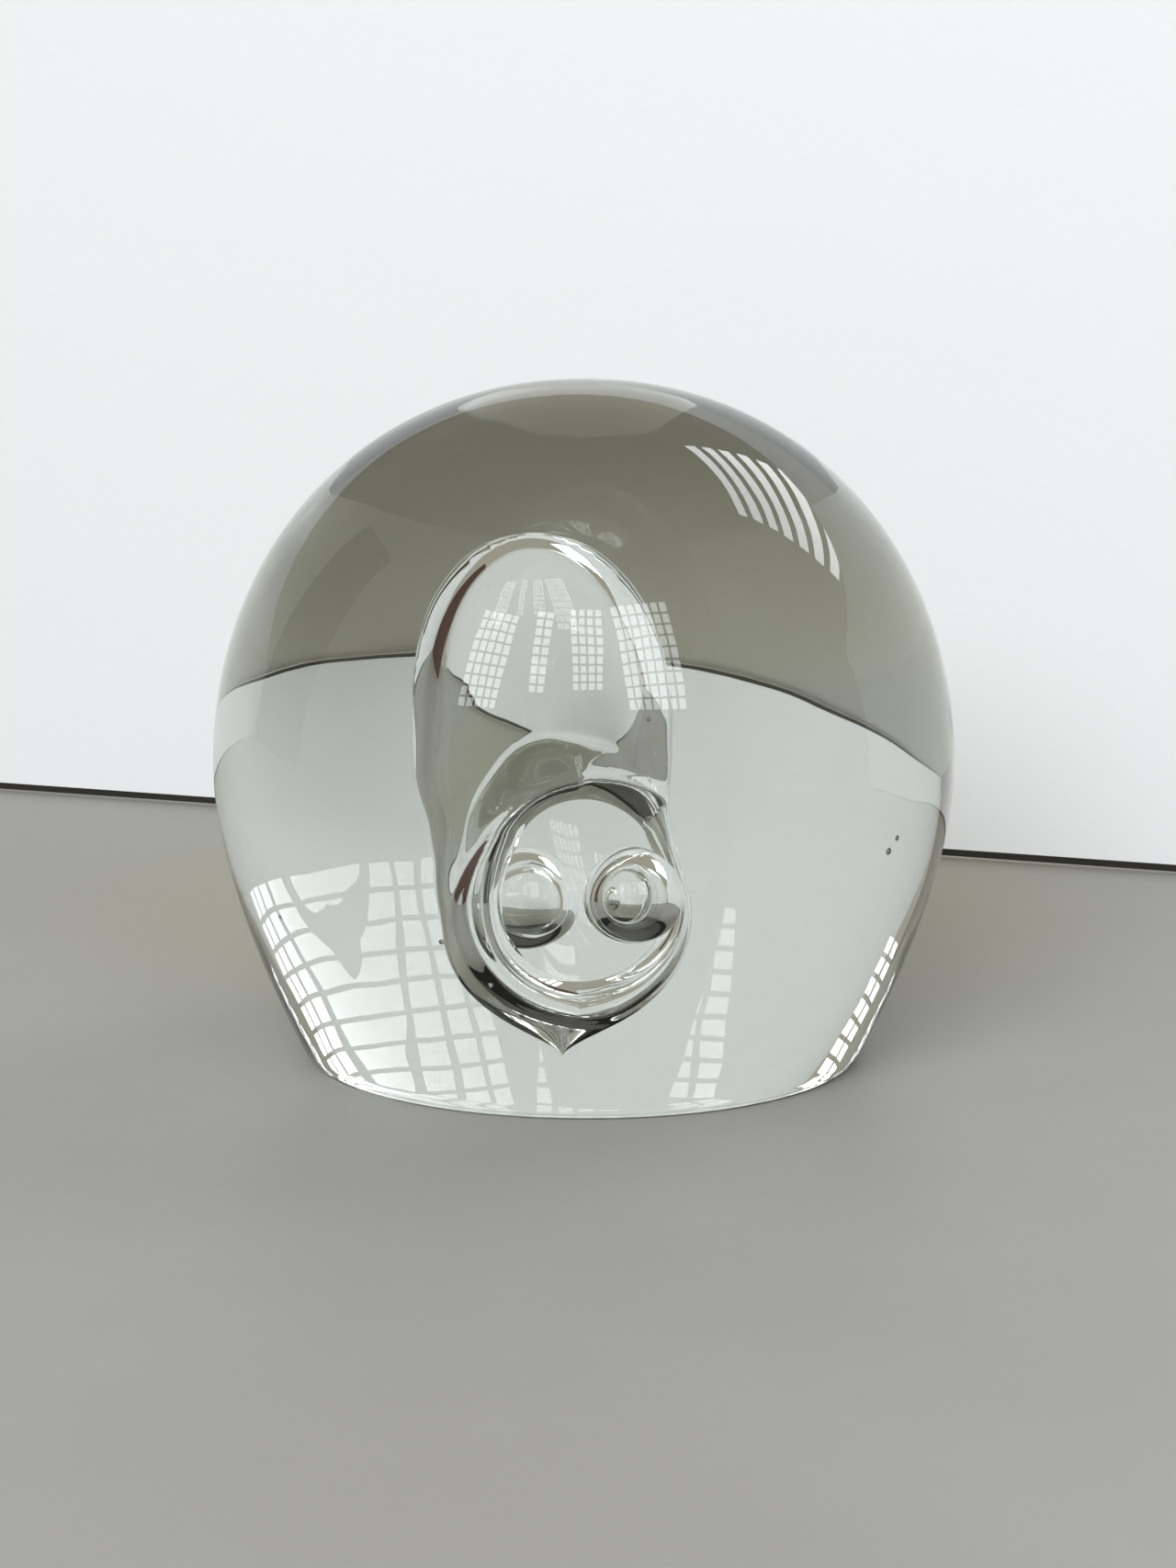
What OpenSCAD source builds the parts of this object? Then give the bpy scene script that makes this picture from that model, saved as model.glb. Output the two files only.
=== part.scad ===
// Paperweight of clear glass: a heavy dome on a ground flat base, with an owl of trapped air inside.
// The origin is the centre of the base, +Z is up and the owl looks towards -Y.
// The block is worked hot in three gathers: a core whose flat front is pressed with the owl's back half,
// a cover gather that traps the air, and a thick outer casing.

/* [Dome] */
// Width of the dome at its widest level
dome_w = 100; // [90:1:130]
// Overall height
dome_h = 91.4; // [84:0.2:125]
// Height of the widest level above the base
waist_h = 39.3; // [32:0.1:50]
// Diameter of the flat base
base_d = 75.4; // [68:0.2:80]
// Fullness of the shoulders, 2 is a true ellipse
shoulder_power = 2.09; // [2:0.01:2.6]
// Fullness of the flanks below the widest level
flank_power = 1.65; // [1.4:0.05:2.2]
// Radius of the ground edge round the base
base_edge_r = 0.7; // [0.3:0.1:1.5]

/* [Gathers] */
// Glass between the owl's highest or lowest point and the outside of the core gather
core_wall = 3.4; // [2:0.1:5]
// Thickness of the cover gather behind the core
cover_wall = 3.5; // [2:0.1:6]

/* [Face] */
// Turn of the owl's face towards +X, in degrees
owl_turn = 12; // [0:1:24]
// Sideways place of the glass column through the face
ring_x = -0.1; // [-1.5:0.1:1.5]
// Height of the column's centre
ring_z = 27.6; // [26:0.2:34]
// Width of the column at its middle
column_w = 14.6; // [12.2:0.2:17.6]
// Height of the column at its middle
column_h = 18; // [14:0.2:22]
// Depth of the ring's swelling in front of and behind the pressed face
ring_depth = 5; // [4:0.1:6]
// Width over which the ring swells out from the column
ring_band = 4.4; // [3.2:0.1:5.4]
// Width of air beside the column on its left
left_cheek = 6; // [4:0.1:7]
// Width of air beside the column on its right
right_cheek = 2.6; // [1.8:0.1:3.6]
// Depth of the cheeks in front of and behind the pressed face
cheek_depth = 4; // [3:0.1:5]
// Length of the beak below the column
beak_drop = 9.4; // [7:0.1:12]
// Depth of the beak in front of and behind the pressed face
beak_depth = 2.6; // [1.4:0.1:3.4]

/* [Hood] */
// Sideways place of the hood's middle
hood_x = -3.9; // [-5:0.1:0]
// Half the width of the hood
hood_half_w = 11.8; // [9.6:0.1:14.4]
// Sideways lean of the hood's top
hood_lean = -0.8; // [-2:0.1:2]
// Height of the hood's straight sides above the column
hood_sides = 8.4; // [6:0.1:11]
// Height of the hood's rounded top
hood_rise = 17.2; // [14:0.2:21]
// Depth of the hood in front of the pressed face
hood_front = 8; // [6:0.1:9]
// Depth of the hood behind the pressed face
hood_back = 6; // [4:0.1:8.6]
// Turn of the hood on the neck, in degrees, against the turn of the face
hood_twist = -16; // [-24:1:0]
// Drop of the cleft between the two shoulders
cleft_drop = 5; // [0:0.5:8]
// Width of the cleft
cleft_w = 1.5; // [1:0.1:4]
// Sideways place of the cleft
cleft_x = -1.6; // [-5:0.1:1]

/* [Eyes] */
// Radius of the left eye
left_eye_r = 4.6; // [3.6:0.05:5.6]
// Radius of the right eye
right_eye_r = 4.6; // [3.6:0.05:5.6]
// Height of an eye as a share of its width
eye_stretch = 1.08; // [1:0.01:1.2]
// Distance between the eyes' centres, seen from in front
eye_spread = 7; // [5.8:0.1:8.4]
// Depth of the left eye's centre behind the pressed face
left_eye_depth = 6.4; // [5:0.1:8]
// Depth of the right eye's centre in front of the pressed face
right_eye_depth = 6.3; // [5:0.1:8]
// Drop of the left eye below the column's centre
left_eye_drop = 0.7; // [0:0.1:2]
// Rise of the right eye above the column's centre
right_eye_rise = 0.5; // [0:0.1:2]

/* [Hidden] */

dome_r = dome_w / 2;
base_r = base_d / 2;
beak_z = ring_z - column_h / 2 - beak_drop;
hood_spring_z = ring_z + column_h / 2 + hood_sides;
hood_top_z = hood_spring_z + hood_rise;
gather_z = (hood_top_z + beak_z) / 2;
core_r = (hood_top_z - beak_z) / 2 + core_wall;
cover_r = core_r + cover_wall;
cheek_x = ring_x + (right_cheek - left_cheek) / 2;
cheek_half_w = (column_w + left_cheek + right_cheek) / 2;

shoulder_steps = 30;
flank_steps = 16;
edge_steps = 4;
// The cloak's shaping: where its shoulders are full, where the hood's twist starts and ends, how the
// chin closes to the beak, the small dip at the nape, how round the ring is, how fast it fades, the most
// of the air's width that it takes, how much narrower it is over the crown, and the least depth of air.
shoulder_z = hood_spring_z - 1;
twist_low_z = ring_z + 6.4;
twist_high_z = hood_spring_z + 7;
chin_power = 7.5;
chin_point = 1.7;
nape_dip = 0.7;
ring_fade = 0.9;
ring_round = 1.3;
band_share = 0.75;
crown_share = 0.7;
least_air = 0.2;

around_steps = 64;
section_steps = 24;
round_fn = 96;
eye_fn = 40;

// Each seed is a height, an angle round the dome, a depth below its surface, and a radius.
seeds = [
    [33, -32, 7, 0.45],
    [34.5, -31, 6, 0.35],
    [23.8, -150, 5, 0.3],
    [18.8, -106, 6, 0.3],
    [24.2, -113, 4, 0.35],
    [52, -80, 5, 0.25],
    [62, 120, 6, 0.3],
];

clear_tint = [0.86, 0.92, 0.88, 0.35];
inner_tint = [0.80, 0.88, 0.84, 0.45];
air_tint = [0.97, 0.98, 1.00, 0.6];

// Raises the size of a number to a power and keeps its sign.
function signed_power(a, p) = sign(a) * pow(abs(a), p);
function mix(a, b, t) = a + (b - a) * t;
function clamped(t) = min(1, max(0, t));
function eased(t) = (1 - cos(180 * clamped(t))) / 2;

// Radius of the dome at a height below or above its widest level.
function flank_radius(z) = dome_r - (dome_r - base_r) * pow((waist_h - z) / waist_h, flank_power);
function shoulder_radius(z) =
    dome_r * pow(max(0, 1 - pow((z - waist_h) / (dome_h - waist_h), shoulder_power)), 1 / shoulder_power);
function dome_radius(z) = z < waist_h ? flank_radius(z) : shoulder_radius(z);

// A share that grows evenly to 1 and then stays there, with a small rounding at the corner.
function capped(t) = let (u = max(0, t)) u / pow(1 + pow(u, 20), 1 / 20);
// A bell curve of height 1.
function bell(t, power) = exp(-pow(abs(t), power));

// How far a height lies from the hood down to the cheeks, and from the column's centre down to the beak.
function cheek_share(z) = eased((hood_spring_z - 5 - z) / (hood_spring_z - 5 - (ring_z - 3.6)));
function beak_share(z) = clamped((ring_z - z) / (ring_z - beak_z));

// The cloak's outline on the pressed face: its middle and its half width at a height.
function cloak_middle(z) =
    mix(hood_x, cheek_x, cheek_share(z))
    + (z > hood_spring_z ? hood_lean * (z - hood_spring_z) / hood_rise : 0);
function cloak_half_w(z) =
    let (down = clamped((hood_spring_z - z) / (hood_spring_z - beak_z)),
         nape = nape_dip * bell((z - ring_z - column_h / 3) / 4, 2))
    (mix(hood_half_w, cheek_half_w, cheek_share(z)) - nape)
        * pow(1 - pow(down, chin_power), chin_point);

// One point of the outline: a rounded hood above, and cheeks that close to the pointed beak below.
function rim_point(a) =
    let (round = sin(a) >= 0,
         down = pow(abs(asin(sin(a))) / 90, 0.85),
         z = round ? hood_spring_z + hood_rise * signed_power(sin(a), 0.9)
                   : mix(hood_spring_z, beak_z, down),
         reach = round ? hood_half_w * signed_power(cos(a), 0.9)
                       : (cos(a) < 0 ? -1 : 1) * cloak_half_w(z))
    [cloak_middle(z) + reach, z];

// The neck of the bubble, where it meets the glass column, in the direction of a point of the outline.
function neck_angle(rim) = atan2((rim[1] - ring_z) / column_h, (rim[0] - ring_x) / column_w);
function neck_point(a) = [ring_x + column_w / 2 * cos(a), ring_z + column_h / 2 * sin(a)];

// Depth of the cloak at a place, before its section closes: full in the hood, with a cleft between the
// two shoulders, and thinning to the beak.
function cloak_depth(x, z, hood_depth) =
    let (cleft = cleft_drop * bell((x - cleft_x) / cleft_w, 1.2))
    z >= ring_z
        ? mix(cheek_depth, hood_depth, capped((z - ring_z + cleft) / (shoulder_z - ring_z)))
        : mix(cheek_depth, beak_depth, beak_share(z)) * cloak_half_w(z) / cheek_half_w;

// How far across the cloak a place lies, from 0 in the middle to 1 at the outline.
function cloak_reach(x, z) =
    let (half = z > hood_spring_z ? hood_half_w : cloak_half_w(z),
         rise = z > hood_spring_z ? (z - hood_spring_z) / hood_rise : 0,
         power = mix(2, 1.3, eased(beak_share(z))))
    half > 0.01
        ? min(1, pow(abs(x - cloak_middle(z)) / half, power) + rise * rise)
        : 1;

// One point of the bubble's wall: a runs round the outline, b round the bubble's section.
function wall_point(a, b) =
    let (rim = rim_point(a),
         at = neck_angle(rim),
         neck = neck_point(at),
         length = norm(rim - neck),
         t = (1 - cos(b)) / 2,
         x = mix(neck[0], rim[0], t),
         z = mix(neck[1], rim[1], t),
         front = sin(b) > 0,
         closing = mix(0.5, 0.8, eased(beak_share(z))),
         pillow = cloak_depth(x, z, front ? hood_front : hood_back) * pow(1 - cloak_reach(x, z), closing),
         band = min(ring_band * mix(1, crown_share, clamped(sin(at))), band_share * length),
         away = t * length,
         swelling = ring_depth * (away < band ? 1 : bell((away - band) / ring_fade, 2))
             * sqrt(max(0, 1 - pow(t, 2.2))),
         joined = pow(pow(swelling, 4) + pow(pillow, 4), 1 / 4),
         lip = away < band ? pow(max(0, 1 - pow(1 - away / band, ring_round)), 1 / ring_round) : 1,
         y = (front ? -1 : 1) * (lip * joined + least_air * abs(sin(b))),
         turn = hood_twist * eased((z - twist_low_z) / (twist_high_z - twist_low_z)))
    [hood_x + (x - hood_x) * cos(turn) - y * sin(turn), (x - hood_x) * sin(turn) + y * cos(turn), z];

module in_owl_frame() {
    rotate([0, 0, owl_turn]) children();
}

module dome_solid() {
    edge = [for (i = [0:edge_steps]) let (a = -90 + 90 * i / edge_steps)
        [base_r - base_edge_r + base_edge_r * cos(a), base_edge_r + base_edge_r * sin(a)]];
    flank = [for (i = [1:flank_steps - 1]) let (z = mix(base_edge_r, waist_h, i / flank_steps))
        [flank_radius(z), z]];
    shoulder = [for (i = [0:shoulder_steps]) let (a = 90 * i / shoulder_steps)
        [dome_r * signed_power(cos(a), 2 / shoulder_power),
         mix(waist_h, dome_h, signed_power(sin(a), 2 / shoulder_power))]];
    rotate_extrude($fn = round_fn) polygon(concat([[0, 0]], edge, flank, shoulder));
}

module gather_ball(r) {
    translate([0, 0, gather_z]) sphere(r = r, $fn = round_fn);
}

// The core is a ball cut flat in front, on the plane through the bubble's rim and neck.
module core_solid() {
    in_owl_frame() intersection() {
        gather_ball(core_r);
        translate([-2 * core_r, 0, gather_z - 2 * core_r]) cube([4 * core_r, 2 * core_r, 4 * core_r]);
    }
}

module cloak_solid() {
    points = [for (i = [0:around_steps - 1]) for (j = [0:section_steps - 1])
        wall_point(360 * i / around_steps - 90, 360 * j / section_steps)];
    corner = function(i, j) (i % around_steps) * section_steps + (j % section_steps);
    faces = [for (i = [0:around_steps - 1]) for (j = [0:section_steps - 1])
        each [[corner(i, j), corner(i + 1, j), corner(i + 1, j + 1)],
              [corner(i, j), corner(i + 1, j + 1), corner(i, j + 1)]]];
    in_owl_frame() polyhedron(points, faces, convexity = 6);
}

module eye_solid(x, y, z, r) {
    in_owl_frame() translate([x, y, z]) scale([1, 1, eye_stretch]) sphere(r = r, $fn = eye_fn);
}

module left_eye_solid() {
    eye_solid(ring_x - eye_spread / 2, left_eye_depth, ring_z - left_eye_drop, left_eye_r);
}

module right_eye_solid() {
    eye_solid(ring_x + eye_spread / 2, -right_eye_depth, ring_z + right_eye_rise, right_eye_r);
}

module owl_air() {
    cloak_solid();
    left_eye_solid();
    right_eye_solid();
}

module seed_solids() {
    for (s = seeds)
        rotate([0, 0, s[1]]) translate([dome_radius(s[0]) - s[2], 0, s[0]])
            sphere(r = s[3], $fn = 24);
}

module outer_casing() {
    color(clear_tint) difference() {
        dome_solid();
        gather_ball(cover_r);
        seed_solids();
    }
}

module cover_gather() {
    color(inner_tint) difference() {
        gather_ball(cover_r);
        core_solid();
        owl_air();
    }
}

module core_gather() {
    color(inner_tint) difference() {
        core_solid();
        owl_air();
    }
}

module cloak_bubble() {
    color(air_tint) cloak_solid();
}

module left_eye_bubble() {
    color(air_tint) left_eye_solid();
}

module right_eye_bubble() {
    color(air_tint) right_eye_solid();
}

module seed_bubbles() {
    color(air_tint) seed_solids();
}

outer_casing();
cover_gather();
core_gather();
cloak_bubble();
left_eye_bubble();
right_eye_bubble();
seed_bubbles();
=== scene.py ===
"""A clear glass paperweight: a heavy dome on a ground flat base, with an owl of trapped air inside."""
import logging
import math
from dataclasses import dataclass, field
from enum import Enum

import bmesh
import bpy
from mathutils import Matrix, Quaternion, Vector


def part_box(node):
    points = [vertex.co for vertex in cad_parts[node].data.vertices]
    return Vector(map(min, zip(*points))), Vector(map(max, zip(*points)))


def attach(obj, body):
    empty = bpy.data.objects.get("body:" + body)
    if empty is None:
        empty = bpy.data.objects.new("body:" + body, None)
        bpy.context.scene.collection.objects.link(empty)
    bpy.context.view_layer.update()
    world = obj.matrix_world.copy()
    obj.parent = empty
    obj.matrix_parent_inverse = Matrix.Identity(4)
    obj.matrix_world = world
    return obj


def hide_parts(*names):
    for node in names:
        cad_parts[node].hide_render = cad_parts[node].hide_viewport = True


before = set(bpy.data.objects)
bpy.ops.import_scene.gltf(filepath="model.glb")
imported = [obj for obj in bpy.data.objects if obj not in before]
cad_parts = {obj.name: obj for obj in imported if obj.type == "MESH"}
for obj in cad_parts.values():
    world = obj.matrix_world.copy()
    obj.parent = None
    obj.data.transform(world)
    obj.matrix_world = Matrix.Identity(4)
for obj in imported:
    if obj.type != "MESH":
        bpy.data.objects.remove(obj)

LOG = logging.getLogger("paperweight")

MM = 0.001
CLOSE = 1e-7
SAME_PLACE = 1e-6
LEVEL = 1e-12
SHARP_ANGLE = math.radians(50)
GLASS_IOR = 1.52
GLASS_BOUNCES = 32
ROOT = "root"
WELD_INDEX = 1
BASE_INDEX = 2
MIX_A = 6
MIX_B = 7
MIX_RESULT = 2
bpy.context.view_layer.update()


def mix(a: float, b: float, t: float) -> float:
    """Gives the value a share t of the way from a to b."""
    return a + (b - a) * t


def clamped(t: float) -> float:
    """Keeps a share between 0 and 1."""
    return min(1.0, max(0.0, t))


def eased(t: float) -> float:
    """Grows smoothly from 0 to 1 with t, level at both ends."""
    return (1 - math.cos(math.pi * clamped(t))) / 2


def capped(t: float, sharpness: int = 20) -> float:
    """Grows evenly to 1 and stays there, with a small rounding at the corner."""
    u = max(0.0, t)
    return u / (1 + u**sharpness) ** (1 / sharpness)


def bell(t: float, power: float) -> float:
    """Gives a bell curve of height 1."""
    return math.exp(-(abs(t) ** power))


def signed_power(a: float, power: float) -> float:
    """Raises the size of a number to a power and keeps its sign."""
    return math.copysign(abs(a) ** power, a)


class Side(Enum):
    """Which side of the pressed face a wall of the bubble lies on."""

    FRONT = -1
    BACK = 1


class Slot(Enum):
    """The record's material slots."""

    CASING = "casing_glass"
    GATHER = "gather_glass"


# ---------------------------------------------------------------- finishes


def node_of(tree: bpy.types.NodeTree, kind: str, **values: object) -> bpy.types.Node:
    """Adds a node to a tree.

    Args:
        tree: the tree to add to.
        kind: the node's type name.
        values: attributes, or input values where the name is an input's with underscores for spaces.

    Returns:
        The new node.
    """
    node = tree.nodes.new(kind)
    for name, value in values.items():
        if hasattr(node, name):
            setattr(node, name, value)
        else:
            node.inputs[name.replace("_", " ")].default_value = value
    return node


class HandlingMarks:
    """The group of marks that handling leaves on polished glass: dust, smears and faint waves."""

    NAME = "handling_marks"

    @classmethod
    def group(cls) -> bpy.types.NodeTree:
        """Makes the node group once, with named inputs and outputs.

        Returns:
            The group, which puts out a roughness and a height.
        """
        found = bpy.data.node_groups.get(cls.NAME)
        if found:
            return found
        tree = bpy.data.node_groups.new(cls.NAME, "ShaderNodeTree")
        for name, start in (("Dust Scale", 900.0), ("Dust", 0.3), ("Smear", 0.02), ("Wave Scale", 60.0)):
            socket = tree.interface.new_socket(name, in_out="INPUT", socket_type="NodeSocketFloat")
            socket.default_value = start
        for name in ("Roughness", "Height"):
            tree.interface.new_socket(name, in_out="OUTPUT", socket_type="NodeSocketFloat")
        enter = node_of(tree, "NodeGroupInput")
        leave = node_of(tree, "NodeGroupOutput")
        place = node_of(tree, "ShaderNodeTexCoord")
        specks = node_of(tree, "ShaderNodeTexVoronoi", feature="F1")
        speck_mask = node_of(tree, "ShaderNodeMapRange", From_Min=0.045, From_Max=0.025)
        gate = node_of(tree, "ShaderNodeTexNoise", Scale=70.0, Detail=1.0)
        gate_mask = node_of(tree, "ShaderNodeMapRange", From_Min=0.56, From_Max=0.62)
        smears = node_of(tree, "ShaderNodeTexNoise", Scale=38.0, Detail=5.0, Roughness=0.65, Distortion=1.2)
        smear_mask = node_of(tree, "ShaderNodeMapRange", From_Min=0.58, From_Max=0.78)
        dust = node_of(tree, "ShaderNodeMath", operation="MULTIPLY")
        dust_amount = node_of(tree, "ShaderNodeMath", operation="MULTIPLY")
        smear_amount = node_of(tree, "ShaderNodeMath", operation="MULTIPLY")
        both = node_of(tree, "ShaderNodeMath", operation="ADD")
        waves = node_of(tree, "ShaderNodeTexNoise", Detail=1.5, Roughness=0.4)
        link = tree.links.new
        for texture in (specks, gate, smears, waves):
            link(place.outputs["Object"], texture.inputs["Vector"])
        link(enter.outputs["Dust Scale"], specks.inputs["Scale"])
        link(enter.outputs["Wave Scale"], waves.inputs["Scale"])
        link(specks.outputs["Distance"], speck_mask.inputs["Value"])
        link(gate.outputs["Fac"], gate_mask.inputs["Value"])
        link(smears.outputs["Fac"], smear_mask.inputs["Value"])
        link(speck_mask.outputs["Result"], dust.inputs[0])
        link(gate_mask.outputs["Result"], dust.inputs[1])
        link(dust.outputs[0], dust_amount.inputs[0])
        link(enter.outputs["Dust"], dust_amount.inputs[1])
        link(smear_mask.outputs["Result"], smear_amount.inputs[0])
        link(enter.outputs["Smear"], smear_amount.inputs[1])
        link(dust_amount.outputs[0], both.inputs[0])
        link(smear_amount.outputs[0], both.inputs[1])
        link(both.outputs[0], leave.inputs["Roughness"])
        link(waves.outputs["Fac"], leave.inputs["Height"])
        return tree


@dataclass(frozen=True)
class GlassFinish:
    """Clear solid glass, with the tint and the marks of one of its surfaces."""

    name: str
    tint: tuple[float, float, float]
    dust: float = 0.0
    smear: float = 0.0
    wave_height: float = 0.0
    wave_scale: float = 60.0

    def material(self) -> bpy.types.Material:
        """Makes the surface's material."""
        material = bpy.data.materials.new(self.name)
        material.use_nodes = True
        tree = material.node_tree
        shader = tree.nodes["Principled BSDF"]
        shader.inputs["Base Color"].default_value = (*self.tint, 1.0)
        shader.inputs["Roughness"].default_value = 0.0
        shader.inputs["IOR"].default_value = GLASS_IOR
        shader.inputs["Transmission Weight"].default_value = 1.0
        if self.dust or self.smear or self.wave_height:
            marks = node_of(tree, "ShaderNodeGroup")
            marks.node_tree = HandlingMarks.group()
            marks.inputs["Dust"].default_value = self.dust
            marks.inputs["Smear"].default_value = self.smear
            marks.inputs["Wave Scale"].default_value = self.wave_scale
            tree.links.new(marks.outputs["Roughness"], shader.inputs["Roughness"])
            if self.wave_height:
                bump = node_of(tree, "ShaderNodeBump", Strength=1.0, Distance=self.wave_height)
                tree.links.new(marks.outputs["Height"], bump.inputs["Height"])
                tree.links.new(bump.outputs["Normal"], shader.inputs["Normal"])
        return material


@dataclass(frozen=True)
class WeldFinish:
    """The level where two gathers of glass fused: it bends and reflects no light."""

    name: str

    def material(self) -> bpy.types.Material:
        """Makes the weld's material, which is fully clear."""
        material = bpy.data.materials.new(self.name)
        material.use_nodes = True
        shader = material.node_tree.nodes["Principled BSDF"]
        shader.inputs["Alpha"].default_value = 0.0
        return material


@dataclass(frozen=True)
class Pool:
    """A faint round patch of tinted shadow, painted into a matte surface's colour, as glass throws behind
    itself.
    """

    colour: tuple[float, float, float]
    place: tuple[float, float, float]
    inner: float = 0.05
    outer: float = 0.11


@dataclass(frozen=True)
class MatteFinish:
    """A matte or slightly glossy opaque surface with a fine grain."""

    name: str
    colour: tuple[float, float, float]
    roughness: float
    ior: float = 1.5
    shade: float = 0.0
    grain_scale: float = 400.0
    grain_height: float = 0.0
    one_sided: bool = False
    off_camera: bool = False
    # the pool is painted shade: the glass's tinted shadow laid into the colour
    pool: Pool | None = None

    def material(self) -> bpy.types.Material:
        """Makes the surface's material."""
        material = bpy.data.materials.new(self.name)
        material.use_nodes = True
        tree = material.node_tree
        shader = tree.nodes["Principled BSDF"]
        shader.inputs["Base Color"].default_value = (*self.colour, 1.0)
        shader.inputs["Roughness"].default_value = self.roughness
        shader.inputs["IOR"].default_value = self.ior
        place = node_of(tree, "ShaderNodeTexCoord")
        if self.shade:
            self.add_shade(tree, place, shader.inputs["Base Color"])
        if self.pool:
            self.add_pool(tree, place, shader.inputs["Base Color"])
        if self.grain_height:
            self.add_grain(tree, place, shader.inputs["Normal"])
        if self.one_sided or self.off_camera:
            self.add_opening(tree, shader)
        return material

    def add_shade(
        self, tree: bpy.types.NodeTree, place: bpy.types.Node, base: bpy.types.NodeSocket
    ) -> None:
        """Lets the colour drift a little darker and lighter.

        Args:
            tree: the material's tree.
            place: the texture coordinates.
            base: the shader's colour socket.
        """
        clouds = node_of(tree, "ShaderNodeTexNoise", Scale=14.0, Detail=6.0, Roughness=0.6)
        darker = tuple(c * (1 - self.shade) for c in self.colour)
        lighter = tuple(c * (1 + self.shade) for c in self.colour)
        blend = node_of(tree, "ShaderNodeMix", data_type="RGBA")
        blend.inputs[MIX_A].default_value = (*darker, 1.0)
        blend.inputs[MIX_B].default_value = (*lighter, 1.0)
        tree.links.new(place.outputs["Object"], clouds.inputs["Vector"])
        tree.links.new(clouds.outputs["Fac"], blend.inputs["Factor"])
        tree.links.new(blend.outputs[MIX_RESULT], base)

    def add_pool(
        self, tree: bpy.types.NodeTree, place: bpy.types.Node, base: bpy.types.NodeSocket
    ) -> None:
        """Paints the pool of tinted shadow over whatever colours the surface so far.

        Args:
            tree: the material's tree.
            place: the texture coordinates.
            base: the shader's colour socket.
        """
        link = tree.links.new
        away = node_of(tree, "ShaderNodeVectorMath", operation="DISTANCE")
        away.inputs[1].default_value = self.pool.place
        fade = node_of(tree, "ShaderNodeMapRange", interpolation_type="SMOOTHSTEP")
        fade.inputs["From Min"].default_value = self.pool.inner
        fade.inputs["From Max"].default_value = self.pool.outer
        # painted shadow: the pool's tinted colour is mixed in near its centre
        painted_pool_mix = node_of(tree, "ShaderNodeMix", data_type="RGBA")
        painted_pool_mix.inputs[MIX_A].default_value = (*self.pool.colour, 1.0)
        painted_pool_mix.inputs[MIX_B].default_value = (*self.colour, 1.0)
        if base.is_linked:
            link(base.links[0].from_socket, painted_pool_mix.inputs[MIX_B])
        link(place.outputs["Object"], away.inputs[0])
        link(away.outputs["Value"], fade.inputs["Value"])
        link(fade.outputs["Result"], painted_pool_mix.inputs["Factor"])
        link(painted_pool_mix.outputs[MIX_RESULT], base)

    def add_grain(
        self, tree: bpy.types.NodeTree, place: bpy.types.Node, normal: bpy.types.NodeSocket
    ) -> None:
        """Gives the surface its fine grain.

        Args:
            tree: the material's tree.
            place: the texture coordinates.
            normal: the shader's normal socket.
        """
        grain = node_of(tree, "ShaderNodeTexNoise", Scale=self.grain_scale, Detail=3.0)
        bump = node_of(tree, "ShaderNodeBump", Strength=1.0, Distance=self.grain_height)
        tree.links.new(place.outputs["Object"], grain.inputs["Vector"])
        tree.links.new(grain.outputs["Fac"], bump.inputs["Height"])
        tree.links.new(bump.outputs["Normal"], normal)

    def add_opening(self, tree: bpy.types.NodeTree, shader: bpy.types.Node) -> None:
        """Makes the surface clear to the camera's own rays, or from behind.

        Args:
            tree: the material's tree.
            shader: the opaque shader.
        """
        link = tree.links.new
        if self.off_camera:
            gone = node_of(tree, "ShaderNodeLightPath").outputs["Is Camera Ray"]
        else:
            gone = node_of(tree, "ShaderNodeNewGeometry").outputs["Backfacing"]
        clear = node_of(tree, "ShaderNodeBsdfTransparent")
        choice = node_of(tree, "ShaderNodeMixShader")
        link(gone, choice.inputs["Fac"])
        link(shader.outputs["BSDF"], choice.inputs[1])
        link(clear.outputs["BSDF"], choice.inputs[2])
        link(choice.outputs["Shader"], tree.nodes["Material Output"].inputs["Surface"])


@dataclass(frozen=True)
class LampFinish:
    """A bright pane of a studio window, which the camera itself doesn't see."""

    name: str
    colour: tuple[float, float, float]
    strength: float

    def material(self) -> bpy.types.Material:
        """Makes the pane's material."""
        material = bpy.data.materials.new(self.name)
        material.use_nodes = True
        tree = material.node_tree
        tree.nodes.clear()
        link = tree.links.new
        glow = node_of(tree, "ShaderNodeEmission", Strength=self.strength)
        glow.inputs["Color"].default_value = (*self.colour, 1.0)
        clear = node_of(tree, "ShaderNodeBsdfTransparent")
        ray = node_of(tree, "ShaderNodeLightPath")
        side = node_of(tree, "ShaderNodeNewGeometry")
        hidden = node_of(tree, "ShaderNodeMath", operation="MAXIMUM")
        choice = node_of(tree, "ShaderNodeMixShader")
        out = node_of(tree, "ShaderNodeOutputMaterial")
        link(ray.outputs["Is Camera Ray"], hidden.inputs[0])
        link(side.outputs["Backfacing"], hidden.inputs[1])
        link(hidden.outputs[0], choice.inputs["Fac"])
        link(glow.outputs["Emission"], choice.inputs[1])
        link(clear.outputs["BSDF"], choice.inputs[2])
        link(choice.outputs["Shader"], out.inputs["Surface"])
        return material


DOME_TINT = (0.715, 0.742, 0.71)
DOME_SKIN = GlassFinish(
    "dome_skin_glass", DOME_TINT, dust=0.35, smear=0.03, wave_height=0.0002, wave_scale=50.0
)
BUBBLE_WALL = GlassFinish("bubble_wall_glass", (0.99, 0.995, 0.985))
GROUND_BASE = GlassFinish("ground_base_glass", DOME_TINT, smear=0.12, wave_height=0.0008, wave_scale=45.0)
WELD = WeldFinish("gather_weld")


# ---------------------------------------------------------------- mesh helpers

NORMAL_LAYER = "wall_normal"


def turned_inside_out(bm: bmesh.types.BMesh) -> None:
    """Turns every face round, so a shell becomes the wall of a hollow."""
    bmesh.ops.reverse_faces(bm, faces=bm.faces)


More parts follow.
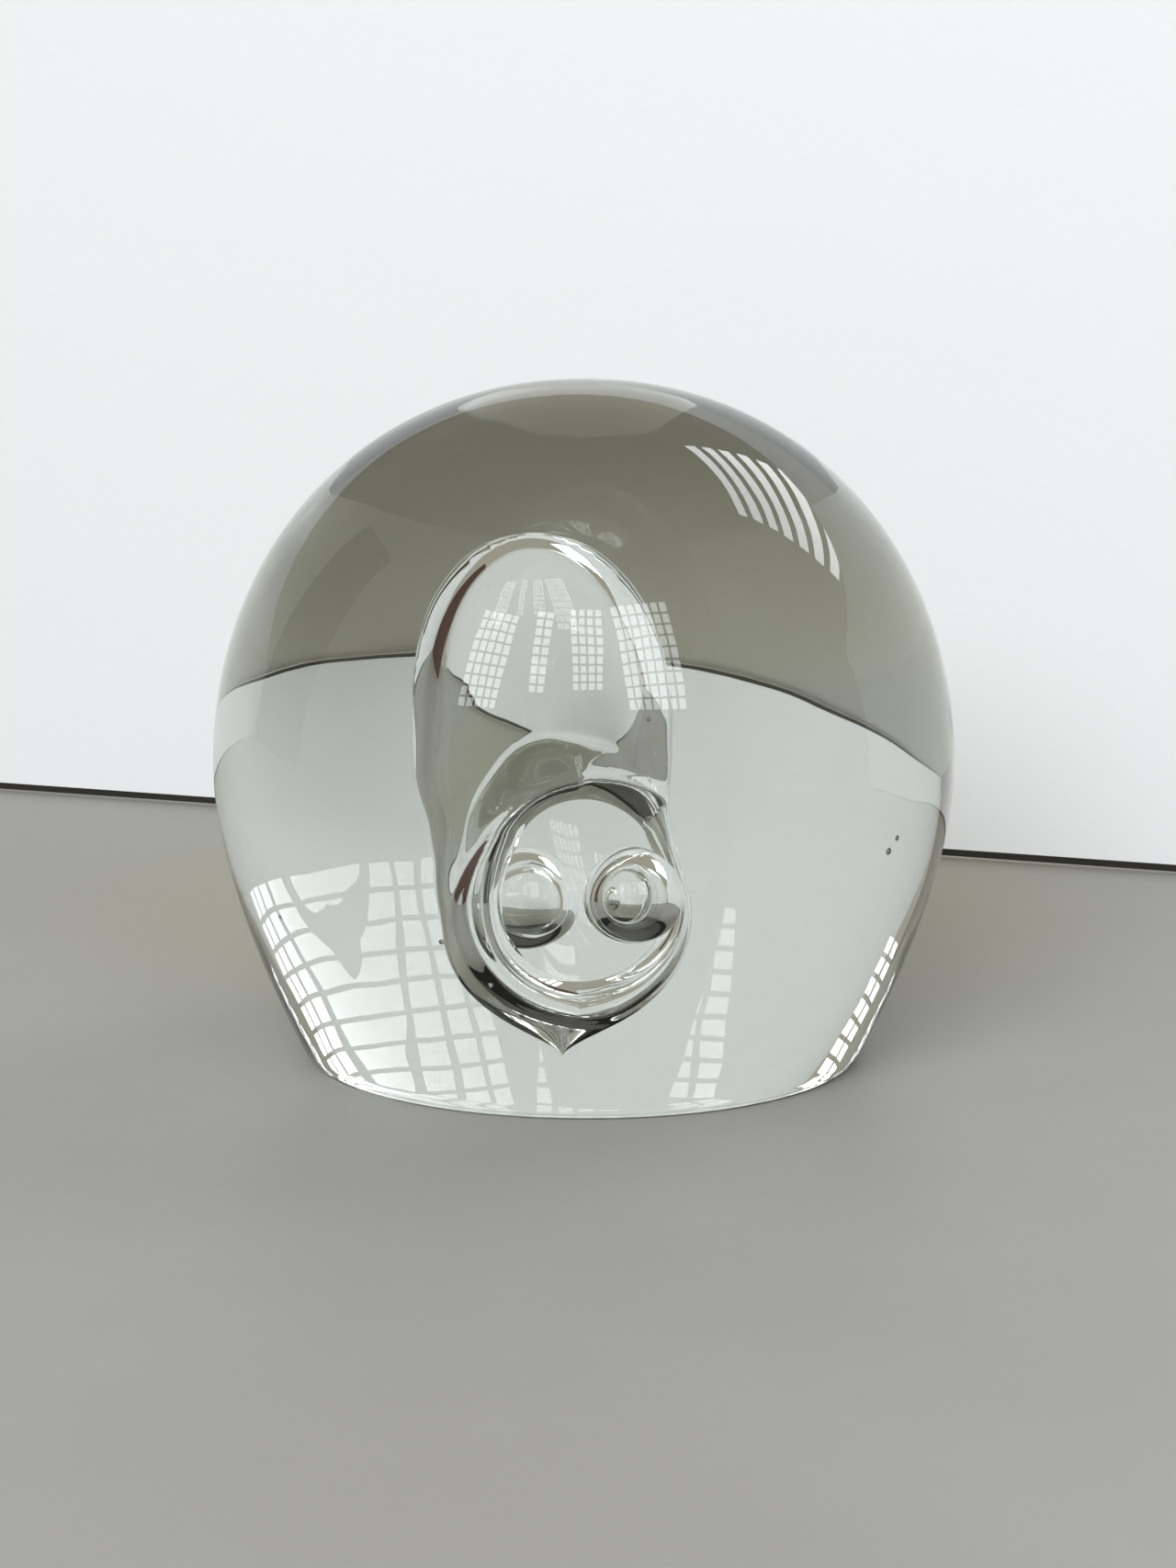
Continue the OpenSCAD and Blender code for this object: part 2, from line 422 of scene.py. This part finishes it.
def keep_normals(bm: bmesh.types.BMesh) -> None:
    """Writes each corner's smooth normal into a layer, so cutting the shell leaves its shading whole."""
    bm.normal_update()
    layer = bm.verts.layers.float_vector.new(NORMAL_LAYER)
    for vert in bm.verts:
        vert[layer] = vert.normal


def absorb(bm: bmesh.types.BMesh, other: bmesh.types.BMesh) -> None:
    """Moves one mesh's shells into another.

    Args:
        bm: the mesh that grows.
        other: the mesh that is used up.
    """
    carrier = bpy.data.meshes.new("carrier")
    other.to_mesh(carrier)
    other.free()
    bm.from_mesh(carrier)
    bpy.data.meshes.remove(carrier)


def cut_away(bm: bmesh.types.BMesh, point: Vector, normal: Vector, side: Side) -> None:
    """Cuts the shells with a plane and keeps one side of them.

    Args:
        bm: the shells.
        point: a point of the plane.
        normal: the plane's normal, which points to the back.
        side: the side that is kept.
    """
    bmesh.ops.bisect_plane(
        bm,
        geom=[*bm.verts, *bm.edges, *bm.faces],
        dist=CLOSE,
        plane_co=point,
        plane_no=normal,
        clear_outer=side is Side.FRONT,
        clear_inner=side is Side.BACK,
    )


def cap_cut(bm: bmesh.types.BMesh, outward: Vector, material: int) -> None:
    """Fills the flat level between the open edges of a cut.

    Args:
        bm: the cut shells.
        outward: the direction in which the new faces point.
        material: the new faces' material index.
    """
    edges = [edge for edge in bm.edges if len(edge.link_faces) == 1]
    made = bmesh.ops.triangle_fill(bm, use_beauty=True, use_dissolve=False, edges=edges, normal=outward)
    for face in made["geom"]:
        if isinstance(face, bmesh.types.BMFace):
            face.material_index = material
            face.smooth = False
            face.normal_update()
            if face.normal.dot(outward) < 0:
                face.normal_flip()


def piece_of(bm: bmesh.types.BMesh, name: str, materials: list[bpy.types.Material]) -> bpy.types.Object:
    """Makes an object of a finished mesh, with the kept normals on its walls.

    Args:
        bm: the mesh, which is used up.
        name: the object's name.
        materials: its materials in the order of the face indices.

    Returns:
        The object, at the origin.
    """
    loose = sum(1 for edge in bm.edges if len(edge.link_faces) != 2)
    LOG.info("%s: %d faces, %d open edges", name, len(bm.faces), loose)
    mesh = bpy.data.meshes.new(name)
    bm.to_mesh(mesh)
    bm.free()
    for material in materials:
        mesh.materials.append(material)
    kept = mesh.attributes.get(NORMAL_LAYER)
    if kept:
        walls = [Vector(value.vector) for value in kept.data]
        normals = [Vector((0, 0, 0))] * len(mesh.loops)
        for face in mesh.polygons:
            for index in face.loop_indices:
                wall = walls[mesh.loops[index].vertex_index]
                normals[index] = wall.normalized() if face.use_smooth and wall.length > 0 else face.normal
        mesh.attributes.remove(kept)
        mesh.normals_split_custom_set(normals)
    else:
        mesh.set_sharp_from_angle(angle=SHARP_ANGLE)
    made = bpy.data.objects.new(name, mesh)
    bpy.context.scene.collection.objects.link(made)
    return made


def ball(radius: float, centre: Vector, around: int, stretch: float = 1.0) -> bmesh.types.BMesh:
    """Makes a smooth ball that faces outward.

    Args:
        radius: in metres.
        centre: its place.
        around: its number of meridians.
        stretch: its height as a share of its width.

    Returns:
        The ball's mesh.
    """
    bm = bmesh.new()
    bmesh.ops.create_uvsphere(bm, u_segments=around, v_segments=around // 2, radius=radius)
    bmesh.ops.scale(bm, vec=(1, 1, stretch), verts=bm.verts)
    bmesh.ops.translate(bm, vec=centre, verts=bm.verts)
    for face in bm.faces:
        face.smooth = True
    return bm


# ---------------------------------------------------------------- sizes


@dataclass
class Gathers:
    """The two inner gathers of glass, which share a centre."""

    core_wall: float = 3.4
    cover_wall: float = 3.5


@dataclass
class Owl:
    """The owl of trapped air: a hooded cloak round a glass column, and two round eyes.

    Sizes are in millimetres and angles in degrees, in the pressed face's own frame.
    """

    turn: float = 12.0
    ring_x: float = -0.1
    ring_z: float = 27.6
    column_w: float = 14.6
    column_h: float = 18.0
    ring_depth: float = 5.0
    ring_band: float = 4.4
    left_cheek: float = 6.0
    right_cheek: float = 2.6
    cheek_depth: float = 4.0
    beak_drop: float = 9.4
    beak_depth: float = 2.6
    hood_x: float = -3.9
    hood_half_w: float = 11.8
    hood_lean: float = -0.8
    hood_sides: float = 8.4
    hood_rise: float = 17.2
    hood_front: float = 8.0
    hood_back: float = 6.0
    hood_twist: float = -16.0
    cleft_drop: float = 5.0
    cleft_w: float = 1.5
    cleft_x: float = -1.6
    left_eye_r: float = 4.6
    right_eye_r: float = 4.6
    eye_stretch: float = 1.08
    eye_spread: float = 7.0
    left_eye_depth: float = 6.4
    right_eye_depth: float = 6.3
    left_eye_drop: float = 0.7
    right_eye_rise: float = 0.5
    chin_power: float = 7.5
    chin_point: float = 1.7
    nape_dip: float = 0.7
    ring_fade: float = 0.9
    ring_round: float = 1.3
    band_share: float = 0.75
    crown_share: float = 0.7
    shoulder_drop: float = 1.0
    least_air: float = 0.2
    cheek_top: float = 5.0
    cheek_bottom: float = 3.6
    rim_power: float = 0.9
    flank_pace: float = 0.85
    cleft_power: float = 1.2
    nape_h: float = 4.0
    full_section: float = 2.0
    thin_section: float = 1.3
    hood_closing: float = 0.5
    beak_closing: float = 0.8
    swelling_power: float = 2.2
    twist_low: float = 6.4
    twist_high: float = 7.0
    eye_steps: int = 96
    around_steps: int = 288
    section_steps: int = 112

    def __post_init__(self) -> None:
        """Works out the levels that follow from the sizes."""
        self.beak_z = self.ring_z - self.column_h / 2 - self.beak_drop
        self.spring_z = self.ring_z + self.column_h / 2 + self.hood_sides
        self.top_z = self.spring_z + self.hood_rise
        self.shoulder_z = self.spring_z - self.shoulder_drop
        self.cheek_x = self.ring_x + (self.right_cheek - self.left_cheek) / 2
        self.cheek_half_w = (self.column_w + self.left_cheek + self.right_cheek) / 2
        self.frame = Matrix.Rotation(math.radians(self.turn), 4, "Z")

    def cheek_share(self, z: float) -> float:
        """Says how far a height lies from the hood down to the cheeks."""
        start = self.spring_z - self.cheek_top
        end = self.ring_z - self.cheek_bottom
        return eased((start - z) / (start - end))

    def beak_share(self, z: float) -> float:
        """Says how far a height lies from the column's centre down to the beak."""
        return clamped((self.ring_z - z) / (self.ring_z - self.beak_z))

    def middle(self, z: float) -> float:
        """Gives the middle of the cloak's outline at a height."""
        lean = self.hood_lean * (z - self.spring_z) / self.hood_rise if z > self.spring_z else 0.0
        return mix(self.hood_x, self.cheek_x, self.cheek_share(z)) + lean

    def half_width(self, z: float) -> float:
        """Gives half the width of the cloak's outline at a height."""
        down = clamped((self.spring_z - z) / (self.spring_z - self.beak_z))
        nape = self.nape_dip * bell((z - self.ring_z - self.column_h / 3) / self.nape_h, 2)
        full = mix(self.hood_half_w, self.cheek_half_w, self.cheek_share(z)) - nape
        return full * max(0.0, 1 - down**self.chin_power) ** self.chin_point

    def rim(self, angle: float) -> tuple[float, float]:
        """Gives the outline's point on the pressed face at an angle round it."""
        if math.sin(angle) >= -LEVEL:
            z = self.spring_z + self.hood_rise * abs(math.sin(angle)) ** self.rim_power
            return self.middle(z) + self.hood_half_w * signed_power(math.cos(angle), self.rim_power), z
        down = (abs(math.asin(math.sin(angle))) / (math.pi / 2)) ** self.flank_pace
        z = mix(self.spring_z, self.beak_z, down)
        side = -1 if math.cos(angle) < 0 else 1
        return self.middle(z) + side * self.half_width(z), z

    def depth(self, x: float, z: float, hood_depth: float) -> float:
        """Gives the cloak's depth at a place, before its section closes."""
        if z >= self.ring_z:
            cleft = self.cleft_drop * bell((x - self.cleft_x) / self.cleft_w, self.cleft_power)
            rise = (z - self.ring_z + cleft) / (self.shoulder_z - self.ring_z)
            return mix(self.cheek_depth, hood_depth, capped(rise))
        thinning = mix(self.cheek_depth, self.beak_depth, self.beak_share(z))
        return thinning * self.half_width(z) / self.cheek_half_w

    def reach(self, x: float, z: float) -> float:
        """Says how far across the cloak a place lies, from 0 in the middle to 1 at the outline."""
        over = z > self.spring_z
        half = self.hood_half_w if over else self.half_width(z)
        rise = (z - self.spring_z) / self.hood_rise if over else 0.0
        if half < 0.01:
            return 1.0
        power = mix(self.full_section, self.thin_section, eased(self.beak_share(z)))
        return min(1.0, (abs(x - self.middle(z)) / half) ** power + rise * rise)

    def wall_point(self, around: float, section: float) -> Vector:
        """Gives one point of the bubble's wall.

        Args:
            around: the angle round the outline.
            section: the angle round the bubble's section, from the neck out to the rim and back.

        Returns:
            The point in metres, in the model's frame.
        """
        rim_x, rim_z = self.rim(around)
        at = math.atan2((rim_z - self.ring_z) / self.column_h, (rim_x - self.ring_x) / self.column_w)
        neck_x = self.ring_x + self.column_w / 2 * math.cos(at)
        neck_z = self.ring_z + self.column_h / 2 * math.sin(at)
        length = math.hypot(rim_x - neck_x, rim_z - neck_z)
        t = (1 - math.cos(section)) / 2
        x = mix(neck_x, rim_x, t)
        z = mix(neck_z, rim_z, t)
        side = Side.FRONT if math.sin(section) > 0 else Side.BACK
        hood = self.hood_front if side is Side.FRONT else self.hood_back
        closing = mix(self.hood_closing, self.beak_closing, eased(self.beak_share(z)))
        pillow = self.depth(x, z, hood) * (1 - self.reach(x, z)) ** closing
        crown = mix(1.0, self.crown_share, clamped(math.sin(at)))
        band = min(self.ring_band * crown, self.band_share * length)
        away = t * length
        fade = 1.0 if away < band else bell((away - band) / self.ring_fade, 2)
        swelling = self.ring_depth * fade * math.sqrt(max(0.0, 1 - t**self.swelling_power))
        joined = (swelling**4 + pillow**4) ** 0.25
        power = self.ring_round
        lip = max(0.0, 1 - (1 - away / band) ** power) ** (1 / power) if away < band else 1.0
        y = side.value * (lip * joined + self.least_air * abs(math.sin(section)))
        low = self.ring_z + self.twist_low
        high = self.spring_z + self.twist_high
        turn = math.radians(self.hood_twist) * eased((z - low) / (high - low))
        out = x - self.hood_x
        twisted = Vector(
            (
                self.hood_x + out * math.cos(turn) - y * math.sin(turn),
                out * math.sin(turn) + y * math.cos(turn),
                z,
            )
        )
        return self.frame @ (twisted * MM)

    def cloak(self) -> bmesh.types.BMesh:
        """Bends a flat grid round the face until it closes on itself as the cloak.

        Returns:
            The cloak's shell, facing outward.
        """
        bm = bmesh.new()
        bmesh.ops.create_grid(bm, x_segments=self.around_steps, y_segments=self.section_steps, size=1.0)
        for vert in bm.verts:
            around = math.pi * (vert.co.x + 1) - math.pi / 2
            section = math.pi * (vert.co.y + 1)
            vert.co = self.wall_point(around, section)
        bmesh.ops.remove_doubles(bm, verts=bm.verts, dist=SAME_PLACE)
        bmesh.ops.recalc_face_normals(bm, faces=bm.faces)
        if bm.calc_volume(signed=True) < 0:
            turned_inside_out(bm)
        for face in bm.faces:
            face.smooth = True
        return bm

    def hollows(self) -> bmesh.types.BMesh:
        """Makes the walls of the cloak and the eyes, facing into the air.

        Returns:
            The walls, with their smooth normals kept in a layer.
        """
        bm = self.cloak()
        eyes = (
            (-self.eye_spread / 2, self.left_eye_depth, -self.left_eye_drop, self.left_eye_r),
            (self.eye_spread / 2, -self.right_eye_depth, self.right_eye_rise, self.right_eye_r),
        )
        for x, y, z, radius in eyes:
            centre = self.frame @ (Vector((self.ring_x + x, y, self.ring_z + z)) * MM)
            absorb(bm, ball(radius * MM, centre, self.eye_steps, self.eye_stretch))
        turned_inside_out(bm)
        keep_normals(bm)
        return bm


# ---------------------------------------------------------------- sub-assemblies


@dataclass
class InnerGathers:
    """The core gather with the pressed face, and the cover gather that traps the air against it."""

    sizes: Gathers
    owl: Owl
    meridians: int = 64

    def __post_init__(self) -> None:
        """Works out the balls and the pressed face's plane."""
        owl = self.owl
        self.centre = Vector((0, 0, (owl.top_z + owl.beak_z) / 2)) * MM
        self.core_r = ((owl.top_z - owl.beak_z) / 2 + self.sizes.core_wall) * MM
        self.cover_r = self.core_r + self.sizes.cover_wall * MM
        self.back = owl.frame @ Vector((0, 1, 0))

    def dress(self, bm: bmesh.types.BMesh, name: str, *nodes: str) -> bpy.types.Object:
        """Makes a gather's object and ties it to the CAD nodes that it stands for."""
        made = piece_of(bm, name, [BUBBLE_WALL.material(), WELD.material()])
        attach(made, ROOT)
        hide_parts(*nodes)
        return made

    def weld_ball(self, radius: float) -> bmesh.types.BMesh:
        """Makes a ball whose surface is a weld."""
        bm = ball(radius, self.centre, self.meridians)
        for face in bm.faces:
            face.material_index = WELD_INDEX
            face.smooth = False
        keep_normals(bm)
        return bm

    def core(self) -> bpy.types.Object:
        """Makes the back half ball, with the back half of the owl pressed into its flat face."""
        bm = self.weld_ball(self.core_r)
        absorb(bm, self.owl.hollows())
        cut_away(bm, self.centre, self.back, Side.BACK)
        cap_cut(bm, -self.back, WELD_INDEX)
        return self.dress(bm, "core_gather_glass", "core_gather", "left_eye_bubble")

    def cover(self) -> bpy.types.Object:
        """Makes the gather that wraps the core and carries the front half of the owl."""
        bm = self.weld_ball(self.core_r)
        turned_inside_out(bm)
        cut_away(bm, self.centre, self.back, Side.BACK)
        hollows = self.owl.hollows()
        cut_away(hollows, self.centre, self.back, Side.FRONT)
        absorb(bm, hollows)
        cap_cut(bm, self.back, WELD_INDEX)
        absorb(bm, self.weld_ball(self.cover_r))
        return self.dress(bm, "cover_gather_glass", "cover_gather", "cloak_bubble", "right_eye_bubble")

    def build(self) -> list[bpy.types.Object]:
        """Builds both gathers."""
        return [self.core(), self.cover()]


@dataclass
class Seed:
    """A tiny stray bubble in the casing, placed by height, bearing and depth, in millimetres and degrees."""

    height: float
    bearing: float
    depth: float
    radius: float


@dataclass
class OuterCasing:
    """The thick outer gather: the dome, its ground base and the stray seeds in its glass."""

    gathers: InnerGathers
    shoulder_power: float = 2.09
    flank_power: float = 1.65
    waist_h: float = 39.3
    base_r: float = 37.7
    edge_r: float = 0.7
    base_share: float = 0.1
    edge_steps: int = 6
    flank_steps: int = 56
    shoulder_steps: int = 80
    spin_steps: int = 192
    seed_steps: int = 24
    seeds: list[Seed] = field(
        default_factory=lambda: [
            Seed(33, -32, 7, 0.45),
            Seed(34.5, -31, 6, 0.35),
            Seed(23.8, -150, 5, 0.3),
            Seed(18.8, -106, 6, 0.3),
            Seed(24.2, -113, 4, 0.35),
            Seed(52, -80, 5, 0.25),
            Seed(62, 120, 6, 0.3),
        ]
    )

    def __post_init__(self) -> None:
        """Takes the dome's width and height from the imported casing."""
        low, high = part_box("outer_casing")
        self.dome_r = (high[0] - low[0]) / 2 / MM
        self.dome_h = high[2] / MM

    def radius(self, z: float) -> float:
        """Gives the dome's radius at a height."""
        if z < self.waist_h:
            drop = (self.waist_h - z) / self.waist_h
            return self.dome_r - (self.dome_r - self.base_r) * drop**self.flank_power
        rise = (z - self.waist_h) / (self.dome_h - self.waist_h)
        return self.dome_r * max(0.0, 1 - rise**self.shoulder_power) ** (1 / self.shoulder_power)

    def outline(self) -> list[tuple[float, float]]:
        """Gives the outline from the base's centre to the top as radius and height."""
        points = [(0.0, 0.0)]
        for i in range(self.edge_steps + 1):
            angle = math.pi / 2 * (i / self.edge_steps - 1)
            points.append(
                (
                    self.base_r - self.edge_r + self.edge_r * math.cos(angle),
                    self.edge_r + self.edge_r * math.sin(angle),
                )
            )
        for i in range(1, self.flank_steps):
            z = mix(self.edge_r, self.waist_h, i / self.flank_steps)
            points.append((self.radius(z), z))
        power = 2 / self.shoulder_power
        for i in range(self.shoulder_steps + 1):
            angle = math.pi / 2 * i / self.shoulder_steps
            r = self.dome_r * max(0.0, math.cos(angle)) ** power
            points.append((r, mix(self.waist_h, self.dome_h, math.sin(angle) ** power)))
        return points

    def dome(self) -> bmesh.types.BMesh:
        """Spins the outline into the closed dome."""
        bm = bmesh.new()
        chain = [bm.verts.new((r * MM, 0, z * MM)) for r, z in self.outline()]
        edges = [bm.edges.new(pair) for pair in zip(chain, chain[1:])]
        bmesh.ops.spin(
            bm,
            geom=[*chain, *edges],
            cent=(0, 0, 0),
            axis=(0, 0, 1),
            dvec=(0, 0, 0),
            angle=math.tau,
            steps=self.spin_steps,
            use_merge=True,
            use_duplicate=False,
        )
        bmesh.ops.remove_doubles(bm, verts=bm.verts, dist=SAME_PLACE)
        bmesh.ops.recalc_face_normals(bm, faces=bm.faces)
        base_level = self.edge_r * MM * self.base_share
        for face in bm.faces:
            face.smooth = True
            if face.calc_center_median().z < base_level:
                face.material_index = BASE_INDEX
        return bm

    def build(self) -> bpy.types.Object:
        """Builds the casing with its hollow for the gathers and its seeds."""
        bm = self.dome()
        room = ball(self.gathers.cover_r, self.gathers.centre, self.gathers.meridians)
        for face in room.faces:
            face.material_index = WELD_INDEX
            face.smooth = False
        turned_inside_out(room)
        absorb(bm, room)
        for seed in self.seeds:
            bearing = Matrix.Rotation(math.radians(seed.bearing), 4, "Z")
            centre = bearing @ (Vector((self.radius(seed.height) - seed.depth, 0, seed.height)) * MM)
            hollow = ball(seed.radius * MM, centre, self.seed_steps)
            turned_inside_out(hollow)
            absorb(bm, hollow)
        finishes = [DOME_SKIN.material(), WELD.material(), GROUND_BASE.material()]
        made = piece_of(bm, "outer_casing_glass", finishes)
        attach(made, ROOT)
        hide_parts("outer_casing", "seed_bubbles")
        return made


# ---------------------------------------------------------------- studio


@dataclass
class Window:
    """A bright studio window of square panes, which faces a target."""

    name: str
    place: tuple[float, float, float]
    width: float
    height: float
    columns: int
    rows: int
    bar: float
    strength: float
    colour: tuple[float, float, float] = (0.95, 0.98, 1.0)
    target: tuple[float, float, float] = (0.0, 0.0, 0.04)

    def build(self) -> bpy.types.Object:
        """Makes the panes as an inset grid whose bars are cut away."""
        bm = bmesh.new()
        bmesh.ops.create_grid(bm, x_segments=self.columns, y_segments=self.rows, size=0.5)
        bmesh.ops.scale(bm, vec=(self.width, self.height, 1), verts=bm.verts)
        if self.bar:
            panes = bm.faces[:]
            rims = bmesh.ops.inset_individual(bm, faces=panes, thickness=self.bar / 2, use_even_offset=True)
            bmesh.ops.delete(bm, geom=rims["faces"], context="FACES_ONLY")
        aim = (Vector(self.place) - Vector(self.target)).to_track_quat("-Z", "Y")
        matrix = Matrix.Translation(self.place) @ aim.to_matrix().to_4x4()
        bmesh.ops.transform(bm, matrix=matrix, verts=bm.verts)
        mesh = bpy.data.meshes.new(self.name)
        bm.to_mesh(mesh)
        bm.free()
        mesh.materials.append(LampFinish(f"{self.name}_glow", self.colour, self.strength).material())
        made = bpy.data.objects.new(self.name, mesh)
        bpy.context.scene.collection.objects.link(made)
        return made


@dataclass
class WindowSize:
    """One window of the row in front: its place along the row, its size and its columns of panes."""

    x: float
    width: float
    height: float
    columns: int


@dataclass
class SoftLight:
    """A large soft lamp that lights matte things and leaves no image of itself in the glass."""

    name: str
    place: tuple[float, float, float]
    target: tuple[float, float, float]
    width: float
    height: float
    power: float
    colour: tuple[float, float, float] = (0.95, 0.98, 1.0)

    def build(self) -> bpy.types.Object:
        """Makes the lamp."""
        data = bpy.data.lights.new(self.name, "AREA")
        data.shape = "RECTANGLE"
        data.size = self.width
        data.size_y = self.height
        data.energy = self.power
        data.color = self.colour
        made = bpy.data.objects.new(self.name, data)
        bpy.context.scene.collection.objects.link(made)
        made.location = self.place
        made.rotation_euler = (Vector(self.target) - Vector(self.place)).to_track_quat("-Z", "Y").to_euler()
        made.visible_glossy = False
        made.visible_transmission = False
        return made


@dataclass
class Studio:
    """The plain floor, the white board behind, the windows, a dark screen and the room's soft light."""

    floor_half: float = 3.0
    floor_drop: float = 0.0002
    board_away: float = 0.163
    board_turn: float = -20.0
    board_left: float = -1.2
    board_right: float = 0.45
    board_h: float = 0.19
    board_gap: float = 0.0015
    glow: float = 6.0
    room_light: float = 0.55
    key_power: float = 45.0
    front_y: float = -1.5
    front_z: float = 1.15
    front_bar: float = 0.022
    front_rows: int = 9
    screen_x: float = -0.9
    screen_h: float = 0.9
    screen_near: float = 0.05
    screen_far: float = 0.47
    front_windows: list[WindowSize] = field(
        default_factory=lambda: [
            WindowSize(-1.0, 0.42, 1.0, 5),
            WindowSize(-0.42, 0.18, 0.8, 2),
            WindowSize(0.02, 0.3, 0.8, 4),
            WindowSize(0.64, 0.62, 1.1, 7),
        ]
    )

    def plane(
        self, name: str, finish: MatteFinish, matrix: Matrix, low: Vector, high: Vector
    ) -> bpy.types.Object:
        """Makes a flat stage piece.

        Args:
            name: the piece's name.
            finish: its finish.
            matrix: its place.
            low: the lowest corner in its own plane.
            high: the highest corner in its own plane.

        Returns:
            The piece.
        """
        bm = bmesh.new()
        bmesh.ops.create_grid(bm, x_segments=1, y_segments=1, size=0.5)
        size = high - low
        bmesh.ops.scale(bm, vec=(size.x, size.y, 1), verts=bm.verts)
        bmesh.ops.translate(bm, vec=(low + high) / 2, verts=bm.verts)
        bmesh.ops.transform(bm, matrix=matrix, verts=bm.verts)
        mesh = bpy.data.meshes.new(name)
        bm.to_mesh(mesh)
        bm.free()
        mesh.materials.append(finish.material())
        made = bpy.data.objects.new(name, mesh)
        bpy.context.scene.collection.objects.link(made)
        return made

    def build(self) -> None:
        """Builds the stage and the lights."""
        self.build_floor()
        self.build_board()
        self.build_screen()
        self.build_windows()
        SoftLight("soft_key", (-0.35, -1.6, 1.05), (0.0, 0.05, 0.05), 1.0, 0.8, self.key_power).build()
        self.light_room()

    def build_floor(self) -> None:
        """Lays the plain floor, with the glass's tinted shadow painted into its colour behind the glass."""
        half = self.floor_half
        finish = MatteFinish(
            "floor_paint",
            (0.27, 0.268, 0.25),
            0.5,
            shade=0.1,
            grain_height=0.00002,
            # painted tinted shadow of the glass on the floor behind it
            pool=Pool((0.28, 0.272, 0.217), (0.0, 0.1, 0.0)),
        )
        lowered = Matrix.Translation((0, 0, -self.floor_drop))
        self.plane("studio_floor", finish, lowered, Vector((-half, -half, 0)), Vector((half, half, 0)))

    def build_board(self) -> None:
        """Stands the white board behind the object, over a dark gap whose shadow is painted on a near-black
        strip.
        """
        stand = Matrix.Translation((0, self.board_away, self.board_gap))
        stand = stand @ Matrix.Rotation(math.radians(self.board_turn), 4, "Z")
        stand = stand @ Matrix.Rotation(math.pi / 2, 4, "X")
        self.plane(
            "studio_board",
            MatteFinish("board_paint", (0.66, 0.668, 0.682), 0.85, grain_height=0.00006, one_sided=True),
            stand,
            Vector((self.board_left, 0, 0)),
            Vector((self.board_right, self.board_h, 0)),
        )
        # painted shade: a near-black strip just behind the board stands for the shadow in the gap beneath it
        self.plane(
            "studio_gap",
            MatteFinish("gap_shade", (0.02, 0.018, 0.015), 0.9),
            stand @ Matrix.Translation((0, 0, -self.board_gap)),
            Vector((self.board_left, -self.board_gap, 0)),
            Vector((self.board_right, 2 * self.board_gap, 0)),
        )

    def build_screen(self) -> None:
        """Stands a dark screen far to the left, which only the glass shows."""
        self.plane(
            "studio_screen",
            MatteFinish("screen_cloth", (0.08, 0.03, 0.022), 0.9, off_camera=True),
            Matrix.Translation((self.screen_x, 0, 0)) @ Matrix.Rotation(math.pi / 2, 4, "Y"),
            Vector((-self.screen_h, self.screen_near, 0)),
            Vector((0.0, self.screen_far, 0)),
        )

    def build_windows(self) -> None:
        """Hangs the windows overhead, to the right and in a row in front."""
        Window("window_overhead", (0.0, 1.3, 0.62), 0.5, 0.2, 7, 1, 0.02, self.glow).build()
        Window("window_right", (1.1, 0.85, 0.95), 0.9, 1.5, 1, 12, 0.05, self.glow).build()
        for i, size in enumerate(self.front_windows):
            Window(
                name=f"window_front_{i}",
                place=(size.x, self.front_y, self.front_z),
                width=size.width,
                height=size.height,
                columns=size.columns,
                rows=self.front_rows,
                bar=self.front_bar,
                strength=self.glow,
            ).build()

    def light_room(self) -> None:
        """Fills the room with a faint warm light."""
        world = bpy.data.worlds.new("room")
        world.use_nodes = True
        backdrop = world.node_tree.nodes["Background"]
        backdrop.inputs["Color"].default_value = (0.80, 0.76, 0.64, 1.0)
        backdrop.inputs["Strength"].default_value = self.room_light
        bpy.context.scene.world = world


@dataclass
class Camera:
    """The camera, in metres and radians."""

    place: tuple[float, float, float] = (0.0, -0.45499, 0.11439)
    pitch: float = 0.1691
    yaw: float = 0.0013
    roll: float = 0.0049
    lens: float = 78.03
    sensor: float = 36.0

    def build(self) -> bpy.types.Object:
        """Makes the scene's camera."""
        data = bpy.data.cameras.new("camera")
        data.lens = self.lens
        data.sensor_width = self.sensor
        data.sensor_fit = "AUTO"
        data.clip_start = 0.01
        made = bpy.data.objects.new("camera", data)
        bpy.context.scene.collection.objects.link(made)
        made.location = self.place
        level = math.cos(self.pitch)
        aim = Vector((level * math.sin(self.yaw), level * math.cos(self.yaw), -math.sin(self.pitch)))
        made.rotation_mode = "QUATERNION"
        made.rotation_quaternion = aim.to_track_quat("-Z", "Y") @ Quaternion((0, 0, 1), self.roll)
        bpy.context.scene.camera = made
        return made


def set_view() -> None:
    """Keeps the room's true tones, and lets light pass through many layers of glass."""
    bpy.context.scene.view_settings.view_transform = "Standard"
    cycles = bpy.context.scene.cycles
    cycles.max_bounces = GLASS_BOUNCES
    cycles.transmission_bounces = GLASS_BOUNCES
    cycles.transparent_max_bounces = GLASS_BOUNCES


def main() -> None:
    """Builds the paperweight, its stage and its camera."""
    logging.basicConfig(level=logging.INFO, format="%(name)s: %(message)s")
    owl = Owl()
    gathers = InnerGathers(Gathers(), owl)
    pieces = gathers.build()
    pieces.append(OuterCasing(gathers).build())
    for piece in pieces:
        LOG.info("made %s", piece.name)
    Studio().build()
    Camera().build()
    set_view()


if __name__ == "__main__":
    main()
